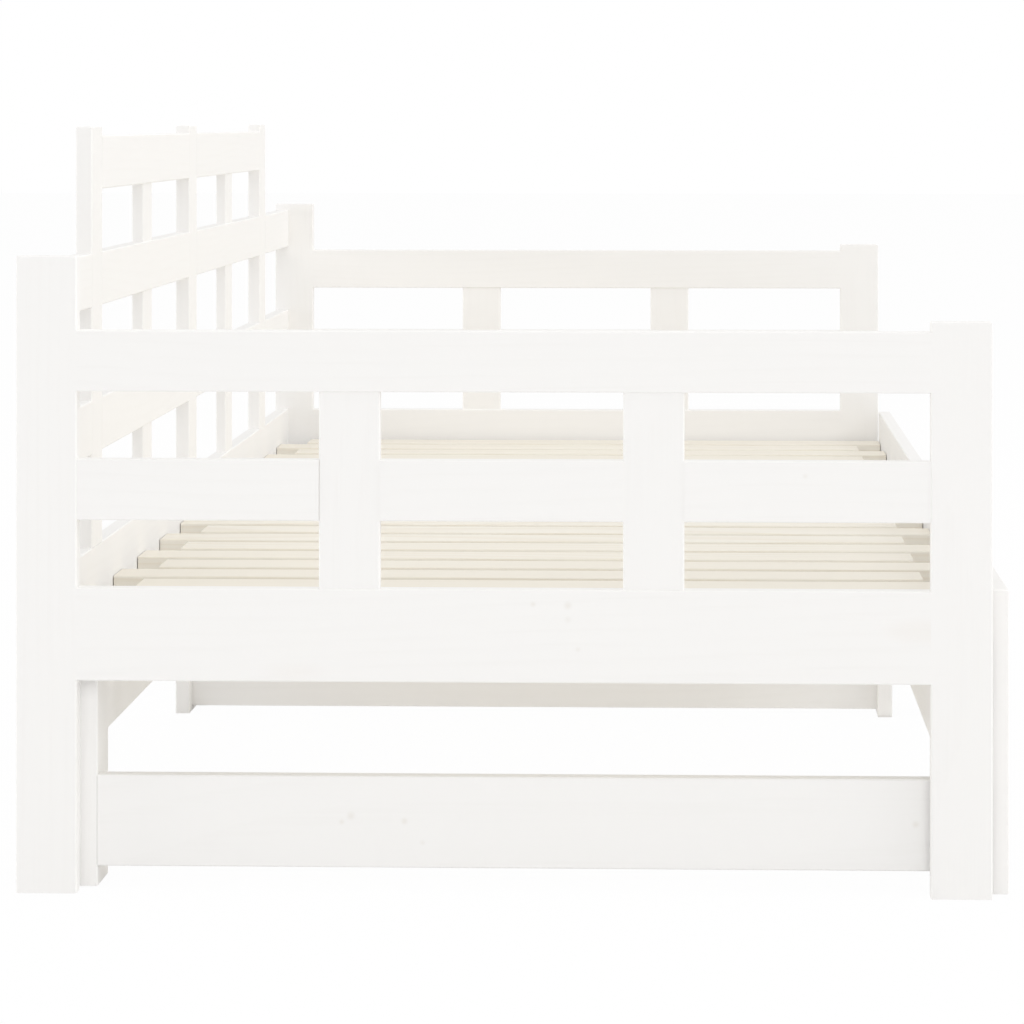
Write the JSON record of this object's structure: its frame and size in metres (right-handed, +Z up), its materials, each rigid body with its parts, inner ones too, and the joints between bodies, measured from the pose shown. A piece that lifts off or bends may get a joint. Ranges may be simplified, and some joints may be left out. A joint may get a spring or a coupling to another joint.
{
  "type": "pull-out day bed",
  "caption": "White pine day bed with an openwork back and ends and a pull-out slatted frame that slides between the fixed slats to double the width.",
  "frame": {"origin": "on the floor, under the middle of the closed bed", "axes": "+X along the bed's length to the right as seen from the front, the front faces -Y, +Z up; the pull-out frame slides along -Y"},
  "size_m": [2.036, 0.9752, 0.7525],
  "materials": {
    "white_paint": "white satin paint over pine, faint grain",
    "natural_pine": "bare planed pine, matt",
    "zinc_steel": "zinc plated"
  },
  "bodies": {
    "day_bed": {"back_bed_rails": "white_paint", "back_crest_rails": "white_paint", "back_middle_post": "white_paint", "back_middle_rails": "white_paint", "back_short_uprights": "white_paint", "back_side_posts": "white_paint", "back_slat_cleat": "white_paint", "fixed_slat_01": "natural_pine", "fixed_slat_02": "natural_pine", "fixed_slat_03": "natural_pine", "fixed_slat_04": "natural_pine", "fixed_slat_05": "natural_pine", "fixed_slat_06": "natural_pine", "fixed_slat_07": "natural_pine", "fixed_slat_08": "natural_pine", "fixed_slat_09": "natural_pine", "fixed_slat_10": "natural_pine", "fixed_slat_11": "natural_pine", "fixed_slat_12": "natural_pine", "frame_bolts": "zinc_steel", "frame_brackets": "zinc_steel", "front_beam": "white_paint", "front_middle_leg": "white_paint", "left_bottom_rail": "white_paint", "left_front_post": "white_paint", "left_mid_rails": "white_paint", "left_rear_post": "white_paint", "left_top_rail": "white_paint", "left_uprights": "white_paint", "middle_cross_rail": "white_paint", "right_bottom_rail": "white_paint", "right_front_post": "white_paint", "right_mid_rails": "white_paint", "right_rear_post": "white_paint", "right_top_rail": "white_paint", "right_uprights": "white_paint"},
    "pull_out": {"pullout_bolts": "zinc_steel", "pullout_front_rail": "white_paint", "pullout_left_front_leg": "white_paint", "pullout_left_rear_leg": "white_paint", "pullout_left_stretcher": "white_paint", "pullout_middle_leg": "white_paint", "pullout_rear_beam": "white_paint", "pullout_right_front_leg": "white_paint", "pullout_right_rear_leg": "white_paint", "pullout_right_stretcher": "white_paint", "pullout_slat_01": "natural_pine", "pullout_slat_02": "natural_pine", "pullout_slat_03": "natural_pine", "pullout_slat_04": "natural_pine", "pullout_slat_05": "natural_pine", "pullout_slat_06": "natural_pine", "pullout_slat_07": "natural_pine", "pullout_slat_08": "natural_pine", "pullout_slat_09": "natural_pine", "pullout_slat_10": "natural_pine", "pullout_slat_11": "natural_pine", "pullout_slat_12": "natural_pine", "pullout_slat_13": "natural_pine", "pullout_slat_cleat": "white_paint"}
  },
  "joints": [
    {"name": "pull_out_slide", "type": "slide", "parent": "day_bed", "child": "pull_out", "axis": [0, -1, 0], "range_m": [0, 0.82]}
  ]
}
